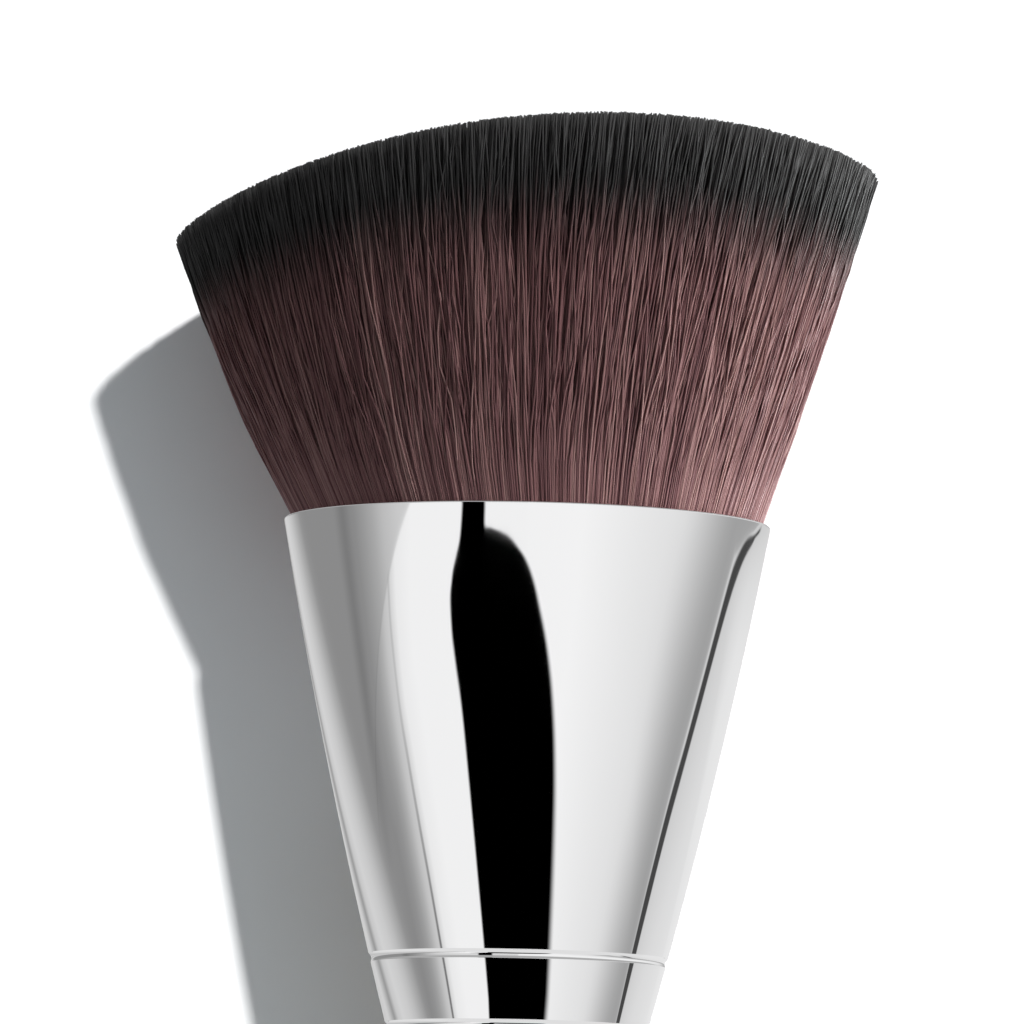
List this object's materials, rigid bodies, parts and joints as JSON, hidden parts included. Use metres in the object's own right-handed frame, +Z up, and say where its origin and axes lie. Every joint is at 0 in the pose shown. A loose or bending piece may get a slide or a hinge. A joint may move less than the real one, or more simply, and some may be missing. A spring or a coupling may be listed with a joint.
{
  "type": "foundation brush",
  "caption": "Make-up brush with a dense flared bundle cut in a slanted arch, held in a conical plated ferrule on a turned lacquered handle.",
  "frame": {"origin": "centre of the flat at the handle's free end", "axes": "+Z runs up the handle's axis towards the filaments; +X points to the long side of the slanted cut; the picture looks along +Y"},
  "size_m": [0.0358, 0.0374, 0.149],
  "materials": {
    "lacquered_wood": "gloss black lacquer",
    "plated_metal": "mirror",
    "adhesive": "hardened glue",
    "resin": "clear hardened resin",
    "thread": "twisted thread",
    "filaments": "satin synthetic filaments, charcoal at the tips and mauve brown below"
  },
  "bodies": {
    "root": {"handle": "lacquered_wood", "ferrule": "plated_metal", "tenon_adhesive": "adhesive", "resin_plug": "resin", "root_binding": "thread", "filament_head": "filaments"}
  },
  "joints": []
}
